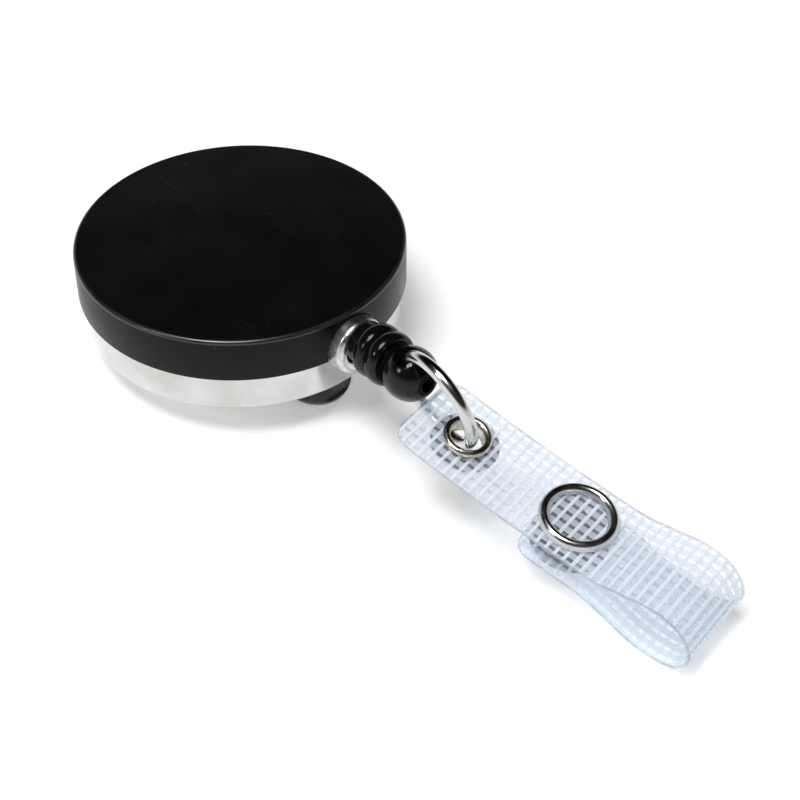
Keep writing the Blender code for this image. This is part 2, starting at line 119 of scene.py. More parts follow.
# Belt clip.
CLIP_THICK = 0.5
CLIP_WIDTH = 9.6
CLIP_LEG_Z = -0.55
CLIP_BEND = (-11.0, -1.27)
CLIP_BEND_RADIUS = 0.72
CLIP_WAIST = (9.0, -1.75)
CLIP_TIP = (17.0, -4.27)
CLIP_LEG_END = 5.0
CLIP_CORNER = 1.5
CLIP_EDGE = 0.1
RIVET_HEAD = 2.0
RIVET_HEAD_THICK = 0.35
RIVET_SHANK = 0.95
RIVET_TOP = 3.3

# Strap.  Its path (u, h) runs out along the top layer, round the fold and back underneath.
STRAP_WIDTH = 11.5
STRAP_THICK = 0.5
STRAP_CORNER = 2.2
STRAP_PATH = ((-3.5, 0), (5, 0), (14, 0.4), (23, 1.18), (27, 2.35), (30, 3.45), (32.5, 3.85),
              (34.6, 3.4), (36.2, 2.2), (36.95, 0.9), (37.07, 0), (36.9, -1.0), (36.3, -2.0),
              (35.2, -2.8), (33.4, -3.35), (31.3, -3.5), (28.9, -3.2), (26, -2.6), (23, -2.34),
              (18.4, -2.63), (14.3, -2.9))
FOLD_U = 37.05
STRAP_EDGE_SHADE = (0.15, 0.09)          # how near the cut edge its painted shade (darker and less clear) starts and is full
EMBOSSING = 0.011
GROMMET_U = 2.97
GROMMET_BORE = 1.95
GROMMET_OUTER = 2.84
GROMMET_HOLE = 2.4
GROMMET_WALL = 0.35
GROMMET_ROLL = 0.24
WASHER_OUTER = 4.0
WASHER_THICK = 0.25
WASHER_H = -0.495
SNAP_U = 18.4
SNAP_UPPER = (0.78, math.radians(-4.95))      # the upper layer's height and slope at the snap
SNAP_LOWER = (-2.63, math.radians(-3.7))      # and the flap's
SNAP_OUTER = 4.55
SNAP_INNER = 3.25
SNAP_CROWN = 1.35                 # the prong rings stand this much taller than half round
SNAP_PLATE = 4.1
SNAP_PLATE_THICK = 0.38
SNAP_CUP = 2.1
SNAP_CUP_WALL = 0.7
SNAP_CUP_DEPTH = 0.9
SNAP_POST = 1.75
SNAP_POST_HEIGHT = 1.6
FITTING_GAP = 0.12

# Camera, about the case's axes: angles in degrees, and the lens for a 36 mm sensor.
CAMERA_AIM = (30.02, -1.93, 5.0)
CAMERA_AZIMUTH = -43.22
CAMERA_ELEVATION = 41.27
CAMERA_DISTANCE = 214.66
CAMERA_ROLL = -0.17
CAMERA_LENS = 85.46

# Studio: the floor is a light table, which keeps the shadows pale.
FLOOR_GLOW = 0.32
ROOM_GLOW = 0.031                 # all round, except high up on the far side
FAR_SIDE = (-0.598, 0.455, 0.66)  # the way to that dark part, which the cap's face reflects
WALL_GLOW = 0.8                   # the foot of the walls is pale
THREAD_GLOW = 0.16                # stands in for the light that the scrim scatters inside the vinyl

# Woven scrim inside the strap.
WARP_PITCH = 1.27
WARP_WIDTH = 0.82
WARP_START = -5.56
WEFT_PITCH = 1.17
WEFT_WIDTH = 0.42
WEFT_START = 0.285
THREAD_THICK = 0.09
WEAVE_LIFT = 0.065
WEAVE_DIP = 0.012
WARP_MARGIN = 0.12                # between the outermost warp threads and the vinyl's edge
WEFT_MARGIN = 0.14                # between the ends of the weft threads and the vinyl's edge


# ---------------------------------------------------------------- axes

def axes(origin, x, z):
    """Axes at origin with Z along z and X as near to x as a right angle allows."""
    z = Vector(z).normalized()
    y = z.cross(Vector(x)).normalized()
    turn = Matrix((y.cross(z), y, z)).transposed()
    return Matrix.Translation(Vector(origin)) @ turn.to_4x4()


def case_axes():
    """Z runs up through the case and X runs out towards the eyelet."""
    spin = joints["spool_spin"]
    across = Vector(joints["clip_flex"]["axis"])
    return axes(spin["pos_m"], across.cross(Vector(spin["axis"])), spin["axis"])


def bead_axes():
    """Z runs out along the bead and X points down."""
    twist = joints["bead_twist"]
    return axes(twist["pos_m"], (0, 0, -1), twist["axis"])


def ring_axes():
    """Z runs along the ring's axis, which the strap swings about."""
    swing = joints["strap_swing"]
    return axes(swing["pos_m"], joints["cord_pull"]["axis"], -Vector(swing["axis"]))


def strap_axes():
    """X runs out along the strap, Z up through it; the origin is where the path's u is zero."""
    fold = joints["flap_open"]
    across = -Vector(fold["axis"]).normalized()
    low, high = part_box("grommet_washer")
    toward = Vector(fold["pos_m"]) - (low + high) / 2
    slope = math.atan2(-WASHER_H, FOLD_U - GROMMET_U)
    out = Matrix.Rotation(slope, 3, across) @ toward.normalized()
    up = out.cross(across)
    return axes(Vector(fold["pos_m"]) - out.normalized() * FOLD_U * MM, out, up)


CASE = case_axes()
BEAD = bead_axes()
RING = ring_axes()
STRAP = strap_axes()
SIDEWAYS = Matrix.Rotation(math.radians(90), 4, "Y")


def shifted(matrix, at, tilt=None):
    """The axes moved by `at` millimetres, then turned by the matrix `tilt`."""
    moved = matrix @ Matrix.Translation(Vector(at) * MM)
    return moved @ tilt if tilt else moved


# ---------------------------------------------------------------- shapes

def arc(centre, radius, start, stop, steps):
    """Points on an arc, with the angles in degrees."""
    points = []
    for step in range(steps + 1):
        angle = math.radians(start + (stop - start) * step / steps)
        points.append((centre[0] + radius * math.cos(angle), centre[1] + radius * math.sin(angle)))
    return points


def rounded(corners, steps=6):
    """An outline whose corners (r, z, radius) are rounded; a radius of 0 leaves one sharp."""
    outline = []
    for index, (r, z, radius) in enumerate(corners):
        if not radius:
            outline.append((r, z))
            continue
        here = Vector((r, z))
        before = (Vector(corners[index - 1][:2]) - here).normalized()
        after = (Vector(corners[(index + 1) % len(corners)][:2]) - here).normalized()
        half = before.angle(after) / 2
        reach = radius / math.tan(half)
        centre = here + (before + after).normalized() * radius / math.sin(half)
        first = here + before * reach - centre
        last = here + after * reach - centre
        start = math.atan2(first.y, first.x)
        sweep = (math.atan2(last.y, last.x) - start + math.pi) % (2 * math.pi) - math.pi
        outline += arc(centre, radius, math.degrees(start), math.degrees(start + sweep), steps)
    return outline


def turned(outline, facets=144, closed=False, angles=None):
    """Points and faces of an outline (r, z) spun about Z."""
    angles = angles or [2 * math.pi * step / facets for step in range(facets)]
    points = [(r * math.cos(a), r * math.sin(a), z) for a in angles for r, z in outline]
    return points, grid_faces(len(angles), len(outline), True, closed)


def grid_faces(rows, columns, rows_close, columns_close):
    """Quads over a grid of points, whose rows or columns may close on themselves."""
    faces = []
    for row in range(rows if rows_close else rows - 1):
        below = row * columns
        above = (row + 1) % rows * columns
        for column in range(columns if columns_close else columns - 1):
            after = (column + 1) % columns
            faces.append((below + column, below + after, above + after, above + column))
    return faces


def loft(sections):
    """A closed solid through sections, each a loop with the same number of points."""
    points = [point for section in sections for point in section]
    count = len(sections[0])
    faces = grid_faces(len(sections), count, False, True)
    faces.append(tuple(range(count)))
    faces.append(tuple(range(len(points) - count, len(points))))
    return points, faces


def smooth_path(knots, step):
    """A smooth curve through the knots, with points about one step apart."""
    knots = [Vector(knot) for knot in knots]
    padded = [2 * knots[0] - knots[1]] + knots + [2 * knots[-1] - knots[-2]]
    points = []
    for before, start, stop, after in zip(padded, padded[1:], padded[2:], padded[3:]):
        pieces = max(1, round((stop - start).length / step))
        for piece in range(pieces):
            t = piece / pieces
            points.append(0.5 * ((2 * start) + (stop - before) * t
                                 + (2 * before - 5 * start + 4 * stop - after) * t ** 2
                                 + (3 * start - before - 3 * stop + after) * t ** 3))
    return points + [knots[-1]]


def stations_along(path):
    """How far along a path each of its points lies."""
    stations = [0.0]
    for before, after in zip(path, path[1:]):
        stations.append(stations[-1] + (after - before).length)
    return stations


def build(name, shape, matrix, look, uv=None, sharp=SHARP_ANGLE):
    """An object from a shape in millimetres, closed and facing outward, in world axes."""
    points, faces = shape
    builder = bmesh.new()
    # Strips carry where each point lies when they are flat, along and across.
    tags = builder.verts.layers.float_vector.new("where")
    for index, point in enumerate(points):
        vertex = builder.verts.new(point)
        if uv:
            vertex[tags] = (*uv[index], 0.0)
    builder.verts.ensure_lookup_table()
    for face in faces:
        builder.faces.new([builder.verts[index] for index in face])
    bmesh.ops.remove_doubles(builder, verts=builder.verts, dist=1e-4)
    bmesh.ops.recalc_face_normals(builder, faces=builder.faces)
    if uv:
        layer = builder.loops.layers.uv.new("flat")
        for face in builder.faces:
            for loop in face.loops:
                loop[layer].uv = loop.vert[tags].xy
    builder.verts.layers.float_vector.remove(tags)
    bmesh.ops.transform(builder, matrix=matrix @ Matrix.Scale(MM, 4), verts=builder.verts)
    mesh = bpy.data.meshes.new(name)
    builder.to_mesh(mesh)
    builder.free()
    mesh.shade_smooth()
    mesh.set_sharp_from_angle(angle=math.radians(sharp))
    thing = bpy.data.objects.new(name, mesh)
    bpy.context.collection.objects.link(thing)
    mesh.materials.append(look)
    return thing


def cut(thing, *guides, sharp=SHARP_ANGLE):
    """Cuts the guides out of a piece for good, and removes them."""
    for guide in guides:
        modifier = thing.modifiers.new("cut", "BOOLEAN")
        modifier.object = guide
        modifier.solver = "EXACT"
    graph = bpy.context.evaluated_depsgraph_get()
    mesh = bpy.data.meshes.new_from_object(thing.evaluated_get(graph))
    mesh.name = thing.name
    thing.modifiers.clear()
    thing.data = mesh
    mesh.shade_smooth()
    mesh.set_sharp_from_angle(angle=math.radians(sharp))
    for guide in guides:
        bpy.data.objects.remove(guide)
    return thing


def drill(radius, length, matrix, facets=96):
    """A round guide along Z, centred on the matrix's origin."""
    half = length / 2
    outline = [(0, -half), (radius, -half), (radius, half), (0, half)]
    return build("drill", turned(outline, facets), matrix, None)


def block(low, high, matrix):
    """A box-shaped guide between two corners."""
    loops = []
    for x in (low[0], high[0]):
        loops.append([(x, low[1], low[2]), (x, high[1], low[2]),
                      (x, high[1], high[2]), (x, low[1], high[2])])
    return build("block", loft(loops), matrix, None)


def repaint(thing, look, matrix, chosen):
    """Gives its own look to each face that is chosen by its (radius, z) in the matrix's axes."""
    mesh = thing.data
    if look.name not in mesh.materials:
        mesh.materials.append(look)
    inward = matrix.inverted()
    for face in mesh.polygons:
        centre = inward @ face.center / MM
        if chosen(math.hypot(centre.x, centre.y), centre.z):
            face.material_index = mesh.materials.find(look.name)


def finish_piece(thing, slot, body, *nodes):
    """Sets the piece on its body and takes the place of the frame's nodes; its slot is not used."""
    if body:
        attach(thing, body)
    if nodes:
        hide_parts(*nodes)
    return thing


# ---------------------------------------------------------------- materials

class Look:
    """A Principled material and short ways to wire detail into it.

    Its colour and roughness are plain ones, for where nothing is wired in over them.
    """

    def __init__(self, name, colour, roughness, metallic=0.0, **sockets):
        self.material = bpy.data.materials.new(name)
        self.material.use_nodes = True
        self.tree = self.material.node_tree
        self.shader = self.tree.nodes["Principled BSDF"]
        self.shader.inputs["Base Color"].default_value = (*colour, 1.0)
        self.shader.inputs["Roughness"].default_value = roughness
        self.shader.inputs["Metallic"].default_value = metallic
        for socket, value in sockets.items():
            self.shader.inputs[socket.replace("_", " ")].default_value = value
        self.heights = None

    def node(self, kind, wires=(), **settings):
        """A shader node with these settings, whose `wires` give an input a link or a value."""
        made = self.tree.nodes.new(kind)
        for key, value in settings.items():
            setattr(made, key, value)
        for socket, value in dict(wires).items():
            if isinstance(value, bpy.types.NodeSocket):
                self.tree.links.new(value, made.inputs[socket])
            else:
                made.inputs[socket].default_value = value
        return made

    def place(self, flat=False, turn=0.0, stretch=(1, 1, 1)):
        """Where on the piece a point is: in space, or along and across a strip."""
        spot = self.node("ShaderNodeTexCoord").outputs["UV" if flat else "Object"]
        wires = {"Vector": spot, "Rotation": (0, 0, turn), "Scale": stretch}
        return self.node("ShaderNodeMapping", wires).outputs["Vector"]

    def noise(self, size, detail=3.0, place=None):
        """Cloudy noise whose features are about `size` millimetres across."""
        wires = {"Vector": place or self.place(), "Scale": 1 / (size * MM), "Detail": detail}
        return self.node("ShaderNodeTexNoise", wires).outputs["Fac"]

    def specks(self, size, place=None):
        """Distance to scattered points about `size` millimetres apart."""
        wires = {"Vector": place or self.place(), "Scale": 1 / (size * MM)}
        return self.node("ShaderNodeTexVoronoi", wires).outputs["Distance"]

    def ramp(self, source, start, stop, low, high):
        """`source` from start to stop mapped to low..high, and held outside that range."""
        wires = {"Value": source, "From Min": start, "From Max": stop, "To Min": low, "To Max": high}
        return self.node("ShaderNodeMapRange", wires).outputs["Result"]

    def larger(self, first, second):
        """The larger of two factors."""
        return self.node("ShaderNodeMath", {0: first, 1: second}, operation="MAXIMUM").outputs[0]

    def product(self, first, second):
        """The product of two factors."""
        return self.node("ShaderNodeMath", {0: first, 1: second}, operation="MULTIPLY").outputs[0]

    def tint(self, factor, low, high):
        """The base colour goes from low to high with the factor."""
        mix = self.node("ShaderNodeMix", data_type="RGBA")
        self.tree.links.new(factor, mix.inputs["Factor"])
        mix.inputs[6].default_value = (*low, 1.0)
        mix.inputs[7].default_value = (*high, 1.0)
        self.wire("Base Color", mix.outputs[2])

    def wire(self, socket, source):
        """Links a source to one of the shader's own sockets."""
        self.tree.links.new(source, self.shader.inputs[socket])

    def relief(self, height, depth):
        """Raises the surface by up to `depth` millimetres where height is one."""
        wires = {"Height": height, "Distance": depth * MM, "Strength": 1.0}
        if self.heights:
            wires["Normal"] = self.heights
        self.heights = self.node("ShaderNodeBump", wires).outputs["Normal"]
        self.wire("Normal", self.heights)

    def scratches(self, turn, size=0.35, length=60.0):
        """Fine straight lines, one where the noise is highest."""
        place = self.place(turn=turn, stretch=(1 / length, 1, 1 / 4))
        return self.ramp(self.noise(size, 2.0, place), 0.70, 0.78, 0.0, 1.0)


def satin_black():
    """Satin lacquer with a little dust and a few fine scratches."""
    black = (0.003, 0.003, 0.0032)
    look = Look("satin_black", black, 0.34, Specular_IOR_Level=0.15)
    dust = look.ramp(look.specks(4.0), 0.018, 0.03, 1.0, 0.0)
    wear = look.ramp(look.scratches(0.6), 0.0, 1.0, 0.0, 0.2)
    look.tint(look.larger(dust, wear), black, (0.10, 0.10, 0.098))
    look.wire("Roughness", look.ramp(look.noise(7.0, 4.0), 0.35, 0.65, 0.28, 0.38))
    look.relief(look.noise(0.22, 2.0), 0.0035)
    look.relief(look.scratches(0.6), -0.002)
    look.relief(look.scratches(2.2), -0.002)
    return look.material


def polished_black():
    """The same lacquer, rubbed bright round the cap's rim."""
    look = Look("polished_black", (0.012, 0.012, 0.012), 0.24, Specular_IOR_Level=0.7)
    look.tint(look.ramp(look.noise(5.0, 3.0), 0.4, 0.65, 0.0, 1.0), (0.008, 0.008, 0.008),
              (0.02, 0.02, 0.0195))
    look.wire("Roughness", look.ramp(look.noise(4.0, 3.0), 0.35, 0.7, 0.22, 0.34))
    look.relief(look.noise(0.8, 2.0), 0.001)
    return look.material


def chrome(name="chrome", smudge=(0.10, 0.22), relief=0.012, painted_shade_tone=1.0):
    """Chrome plate.  The last argument, below one, darkens the colour: painted shade for pieces that
    lie in the strap's shade.
    """
    bright = (0.66 * painted_shade_tone, 0.66 * painted_shade_tone, 0.65 * painted_shade_tone)
    look = Look(name, bright, smudge[0], 1.0)
    look.tint(look.ramp(look.noise(4.0, 4.0), 0.35, 0.7, 0.0, 1.0), bright,
              (0.54 * painted_shade_tone, 0.54 * painted_shade_tone, 0.525 * painted_shade_tone))
    look.wire("Roughness", look.ramp(look.noise(2.2, 5.0), 0.35, 0.7, *smudge))
    look.relief(look.noise(3.0, 1.0), relief)
    look.relief(look.scratches(1.1, 0.12, 40.0), -0.0012)
    return look.material


def satin_silver():
    """Dull silver plate, faintly clouded."""
    look = Look("satin_silver", (0.74, 0.735, 0.72), 0.26, 1.0)
    look.tint(look.ramp(look.noise(1.0, 4.0), 0.4, 0.65, 0.0, 1.0), (0.66, 0.655, 0.64),
              (0.50, 0.495, 0.48))
    look.wire("Roughness", look.ramp(look.noise(0.9, 3.0), 0.35, 0.7, 0.25, 0.33))
    look.relief(look.noise(1.6, 1.0), 0.004)
    return look.material


def gloss_black():
    """Moulded plastic, glossy and not quite even, with a few specks."""
    black = (0.004, 0.004, 0.0045)
    look = Look("gloss_black", black, 0.18, Specular_IOR_Level=0.27)
    look.tint(look.ramp(look.specks(0.9), 0.04, 0.07, 1.0, 0.0), black, (0.03, 0.03, 0.03))
    look.wire("Roughness", look.ramp(look.noise(1.5, 4.0), 0.35, 0.65, 0.12, 0.2))
    look.relief(look.noise(0.7, 2.0), 0.012)
    return look.material


def moulded_black():
    """The matt walls that the core pins leave inside the bead."""
    look = Look("moulded_black", (0.004, 0.004, 0.004), 0.7, Specular_IOR_Level=0.15)
    look.tint(look.noise(0.8, 3.0), (0.003, 0.003, 0.003), (0.007, 0.007, 0.007))
    look.wire("Roughness", look.ramp(look.noise(0.3, 3.0), 0.3, 0.7, 0.6, 0.85))
    look.relief(look.noise(0.2, 2.0), 0.01)
    return look.material


def nickel(name="nickel", painted_shade_tone=1.0):
    """Nickel plate, warmer than chrome and clouded brown in places.  The last argument, below one,
    darkens the colour as painted shade.
    """
    bright = (0.66 * painted_shade_tone, 0.63 * painted_shade_tone, 0.57 * painted_shade_tone)
    look = Look(name, bright, 0.14, 1.0)
    look.tint(look.ramp(look.noise(1.3, 4.0), 0.38, 0.66, 0.0, 1.0), bright,
              (0.42 * painted_shade_tone, 0.37 * painted_shade_tone, 0.30 * painted_shade_tone))
    look.wire("Roughness", look.ramp(look.noise(0.8, 4.0), 0.35, 0.7, 0.2, 0.34))
    look.relief(look.noise(0.9, 2.0), 0.02)
    return look.material


def spring_steel():
    """Rolled strip with its grain along it."""
    look = Look("spring_steel", (0.14, 0.14, 0.145), 0.3, 1.0)
    grain = look.noise(0.1, 3.0, look.place(stretch=(1 / 30, 1, 1)))
    look.tint(look.ramp(look.noise(3.0, 4.0), 0.35, 0.7, 0.0, 1.0), (0.17, 0.17, 0.175),
              (0.10, 0.10, 0.103))
    look.wire("Roughness", look.ramp(grain, 0.3, 0.7, 0.24, 0.42))
    look.relief(grain, 0.004)
    return look.material


def strap_edge_shade_mask(look, flat):
    """One on the strap's cut edge and nought away from it; it masks the painted edge shade."""
    corner = STRAP_CORNER * MM
    middle = (STRAP_LENGTH / 2 * MM, 0, 0)
    core = (middle[0] - corner, STRAP_WIDTH / 2 * MM - corner, 1)
    shifts = (("SUBTRACT", middle), ("ABSOLUTE", None), ("SUBTRACT", core), ("MAXIMUM", (0, 0, 0)),
              ("LENGTH", None))
    spot = flat
    for operation, other in shifts:
        wires = {0: spot, 1: other} if other else {0: spot}
        made = look.node("ShaderNodeVectorMath", wires, operation=operation)
        spot = made.outputs["Value" if operation == "LENGTH" else "Vector"]
    starts, full = (corner - distance * MM for distance in STRAP_EDGE_SHADE)
    return look.ramp(spot, starts, full, 0.0, 1.0)


def vinyl():
    """Clear vinyl, lightly embossed by the scrim that it is pressed over."""
    look = Look("clear_vinyl", (0.83, 0.89, 0.97), 0.16, IOR=1.5, Alpha=0.1)
    flat = look.place(flat=True)
    haze = look.ramp(look.noise(2.5, 4.0, flat), 0.35, 0.7, 0.0, 1.0)
    rim = strap_edge_shade_mask(look, flat)
    # Painted shade: the cut edge is darker grey-blue and less clear, standing in for the dark line
    # along a clear sheet's edge.
    look.tint(rim, (0.86, 0.90, 0.965), (0.36, 0.39, 0.50))
    look.wire("Roughness", look.ramp(look.noise(0.5, 3.0, flat), 0.35, 0.7, 0.10, 0.26))
    film = look.ramp(look.noise(0.9, 4.0, flat), 0.3, 0.7, 0.07, 0.14)
    look.wire("Alpha", look.larger(film, look.product(rim, look.ramp(haze, 0.0, 0.8, 0.62, 0.3))))
    look.relief(look.noise(0.9, 2.0, flat), 0.012)
    return look.material


def thread(name, colour, alpha, glow):
    """Fine filaments laid side by side in a flat tape, which lets light through by `glow`."""
    look = Look(name, colour, 0.6, Alpha=alpha, Transmission_Weight=glow, IOR=1.3,
                Emission_Strength=THREAD_GLOW, Emission_Color=(0.78, 0.88, 1.0, 1.0))
    strands = look.noise(0.09, 2.0, look.place(flat=True))
    look.tint(look.ramp(strands, 0.3, 0.7, 0.0, 1.0), tuple(0.86 * part for part in colour), colour)
    look.wire("Alpha", look.ramp(strands, 0.3, 0.7, alpha - 0.12, min(1.0, alpha + 0.1)))
    look.relief(strands, 0.02)
    return look.material


def braided_cord():
    """Black cord, with two families of strands that wind opposite ways round it."""
    look = Look("braided_cord", (0.018, 0.018, 0.019), 0.7, Sheen_Weight=0.3)
    braid = []
    for turn in (0.7, -0.7):
        wires = {"Vector": look.place(flat=True, turn=turn), "Scale": 1.1 / MM}
        braid.append(look.node("ShaderNodeTexWave", wires).outputs["Fac"])
    for strand in braid:
        look.relief(strand, 0.03)
    look.wire("Roughness", look.ramp(look.noise(0.2, 3.0), 0.3, 0.7, 0.6, 0.85))
    look.tint(braid[0], (0.012, 0.012, 0.013), (0.03, 0.03, 0.031))
    return look.material


def acetal():
    """White moulded plastic, slightly translucent."""
    look = Look("white_acetal", (0.76, 0.76, 0.73), 0.4, Subsurface_Weight=0.1)
    look.tint(look.ramp(look.noise(5.0, 3.0), 0.3, 0.7, 0.0, 1.0), (0.70, 0.70, 0.67),
              (0.80, 0.80, 0.77))
    look.wire("Roughness", look.ramp(look.noise(0.8, 3.0), 0.3, 0.7, 0.33, 0.48))
    look.relief(look.noise(0.4, 2.0), 0.008)
    return look.material


# ---------------------------------------------------------------- case

def build_cap(look, rim_look):
    """The lacquered cap, a flat cup that is notched for the eyelet."""
    inside = CAP_RADIUS - CAP_WALL
    ceiling = CAP_TOP - CAP_FACE
    outline = rounded([(0, CAP_TOP, 0), (CAP_RADIUS, CAP_TOP, CAP_EDGE),
                       (CAP_RADIUS, CAP_FOOT, 0.16), (inside, CAP_FOOT, 0.12),
                       (inside, ceiling, 0.3), (0, ceiling, 0)])
    cap = build("front_cap_lacquered", turned(outline, 256), CASE, look)
    notch = EYELET_BORE + 2 * EYELET_LIP + GAP / 3
    cut(cap, drill(notch, 6, shifted(CASE, (CAP_RADIUS, 0, EYELET_Z), SIDEWAYS)))
    repaint(cap, rim_look, CASE,
            lambda radius, z: radius > CAP_RADIUS - CAP_EDGE and z > CAP_TOP - CAP_EDGE)
    finish_piece(cap, "satin_black", "case", "front_cap")


def build_shell(look):
    """The plated back, with a flat on its side that the eyelet's lip seats on."""
    shoulder = CAP_FOOT - GAP
    outline = rounded([(RIVET_HOLE, RECESS_DEPTH, 0.08), (RECESS_RADIUS - 0.3, RECESS_DEPTH, 0.1),
                       (RECESS_RADIUS, 0, 0.12), (SHELL_RADIUS, 0, SHELL_EDGE),
                       (SHELL_RADIUS, shoulder, 0.12), (SHELL_SPIGOT, shoulder, 0.05),
                       (SHELL_SPIGOT, SHELL_TOP, 0.2), (SHELL_INSIDE, SHELL_TOP, 0.2),
                       (SHELL_INSIDE, SHELL_FLOOR, 0.4), (RIVET_HOLE, SHELL_FLOOR, 0.08)], 8)
    shell = build("rear_shell_plated", turned(outline, 256, True), CASE, look)
    inside, outside = 15, 21
    hole = EYELET_BARREL + GAP / 2
    middle = shifted(CASE, ((inside + outside) / 2, 0, EYELET_Z), SIDEWAYS)
    cut(shell,
        block((SEAT_X, -SEAT_HALF, -1), (outside, SEAT_HALF, shoulder + 0.1), CASE),
        drill(hole, outside - inside, middle),
        block((inside, -hole, EYELET_Z), (outside, hole, SHELL_TOP + 1), CASE), sharp=30)
    finish_piece(shell, "chrome", "case", "rear_shell")


def build_eyelet(look):
    """The cord's eyelet: a rounded lip outside, a barrel and a flared tail inside."""
    middle = EYELET_BORE + EYELET_LIP
    rim = middle + EYELET_LIP
    lip = arc((middle, EYELET_LIP_X), EYELET_LIP, 0, 180, 28)
    tail = EYELET_TAIL_X
    outline = [(EYELET_BORE, tail + 0.15), (EYELET_BORE + 0.15, tail), (EYELET_TAIL, tail),
               (EYELET_TAIL, tail + EYELET_TAIL_THICK), (EYELET_BARREL, tail + EYELET_TAIL_THICK),
               (EYELET_BARREL, EYELET_BACK_X),
               *arc((rim - 0.3, EYELET_BACK_X + 0.3), 0.3, -90, 0, 6), *lip]
    eyelet = build("cord_eyelet_rolled", turned(outline, 128, True),
                   shifted(CASE, (0, 0, EYELET_Z), SIDEWAYS), look)
    finish_piece(eyelet, "chrome", "case", "cord_eyelet")


# ---------------------------------------------------------------- bead, cord and ring

def seam_angles(facets):
    """Angles round the bead, with extra ones where its parting line runs on the neck."""
    angles = [2 * math.pi * step / facets for step in range(facets)]
    for radius in (WAIST_RADIUS, BEAD_NECK, BEAD_RIB):
        for side in (-1, 1):
            for nudge in (-0.03, 0.0, 0.03):
                angles.append((side * math.acos(SEAM_DROP / radius) + nudge) % (2 * math.pi))
    return sorted(angles)


def bead_outline():
    """The bead's outline: its mouth, ribs, waist and ball, and back along its bores."""
    outline = [(MOUTH_BORE, BEAD_MOUTH + 0.1), (MOUTH_BORE + 0.1, BEAD_MOUTH)]
    outline += arc((BEAD_NECK - 0.25, BEAD_MOUTH + 0.25), 0.25, -90, 0, 6)
    for station in RIB_STATIONS:
        for angle in range(-90, 91, 10):
            swell = math.cos(math.radians(angle)) ** 0.8
            outline.append((BEAD_NECK + (BEAD_RIB - BEAD_NECK) * swell,
                            station + RIB_HALF * math.sin(math.radians(angle))))
    waist = BALL_STATION - math.sqrt(BALL_RADIUS ** 2 - WAIST_RADIUS ** 2)
    outline.append((WAIST_RADIUS, waist - 0.45))
    start = math.degrees(math.asin((waist - BALL_STATION) / BALL_RADIUS))
    finish = math.degrees(math.acos(END_HOLE / BALL_RADIUS))
    outline += arc((0, BALL_STATION), BALL_RADIUS, start, finish - 2, 32)
    lip = math.sqrt(BALL_RADIUS ** 2 - END_HOLE ** 2)
    outline += [(END_HOLE + 0.02, BALL_STATION + lip - 0.07), (END_HOLE, BALL_STATION + lip - 0.2)]
    outline += [(END_HOLE, BALL_STATION), (CHAMBER_BORE, BALL_STATION)]
    outline += [(CHAMBER_BORE, CHAMBER_START), (MOUTH_BORE, CHAMBER_START)]
    return outline


def with_seam(points):
    """The bead's points, with the low ridge of the parting line raised on its outside."""
    raised = []
    for x, y, z in points:
        away = abs(x - SEAM_DROP)
        radius = math.hypot(x, y)
        rise = SEAM_RISE * max(0.0, 1 - away / SEAM_HALF) if radius > WAIST_RADIUS - 0.1 else 0.0
        raised.append((x * (1 + rise / radius), y * (1 + rise / radius), z))
    return raised


def build_bead(look, bore_look):
    """The bead, with the cross hole for the ring drilled through its ball."""
    points, faces = turned(bead_outline(), closed=True, angles=seam_angles(120))
    body = build("cord_bead_moulded", (with_seam(points), faces), BEAD, look)
    ball = BEAD @ Vector((0, 0, BALL_STATION * MM))
    hole = axes(ball, joints["cord_pull"]["axis"], joints["ring_swing"]["axis"])
    cut(body, drill(CROSS_HOLE, 9, hole, 72))
    repaint(body, bore_look, BEAD, lambda radius, z: radius < CHAMBER_BORE + 0.05)
    repaint(body, bore_look, hole, lambda radius, z: radius < CROSS_HOLE + 0.05)
    finish_piece(body, "gloss_black", "bead", "cord_bead")


def build_cord(look):
    """The straight stretch of cord, from inside the case to the knot inside the bead."""
    sides = 20
    steps = 90
    start = -CORD_TAIL
    stop = CHAMBER_START + 0.1
    sections = []
    where = []
    for step in range(steps + 1):
        z = start + (stop - start) * step / steps
        loop = []
        for side in range(sides):
            angle = 2 * math.pi * side / sides
            loop.append((CORD_RADIUS * math.cos(angle), CORD_RADIUS * math.sin(angle), z))
            where.append((z * MM, CORD_RADIUS * angle * MM))
        sections.append(loop)
    cord = build("cord_lead_braided", loft(sections), BEAD, look, where)
    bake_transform(cord)
    finish_piece(cord, "black_cord", None, "cord_lead")


def build_ring(look):
    """The wire ring, with the fine groove where its two ends butt together."""
    facets = 200
    angles = [2 * math.pi * step / facets for step in range(facets)]
    seam = math.radians(176)
    angles = sorted(angles + [seam + nudge for nudge in (-0.012, -0.004, 0.004, 0.012)])
    sides = 36
    points = []
    for angle in angles:
        pinch = 0.9 if abs(angle - seam) < 0.005 else 1.0
        for r, z in arc((0, 0), WIRE_RADIUS * pinch, 0, 360 - 360 / sides, sides - 1):
            points.append(((RING_RADIUS + r) * math.cos(angle),
                           (RING_RADIUS + r) * math.sin(angle), z))
    ring = build("connector_ring_wire", (points, grid_faces(len(angles), sides, True, True)),
                 RING, look)
    finish_piece(ring, "chrome", "ring", "connector_ring")


# ---------------------------------------------------------------- belt clip

def edge_loop(half):
    """Points (y, lift) round the clip's section, with its edges eased."""
    edge = CLIP_EDGE
    loop = []
    for index, (side, up) in enumerate(((1, 1), (1, -1), (-1, -1), (-1, 1))):
        centre = (side * (half - edge), up * (CLIP_THICK / 2 - edge))
        loop += arc(centre, edge, 90 - 90 * index, -90 * index, 3)
    return loop


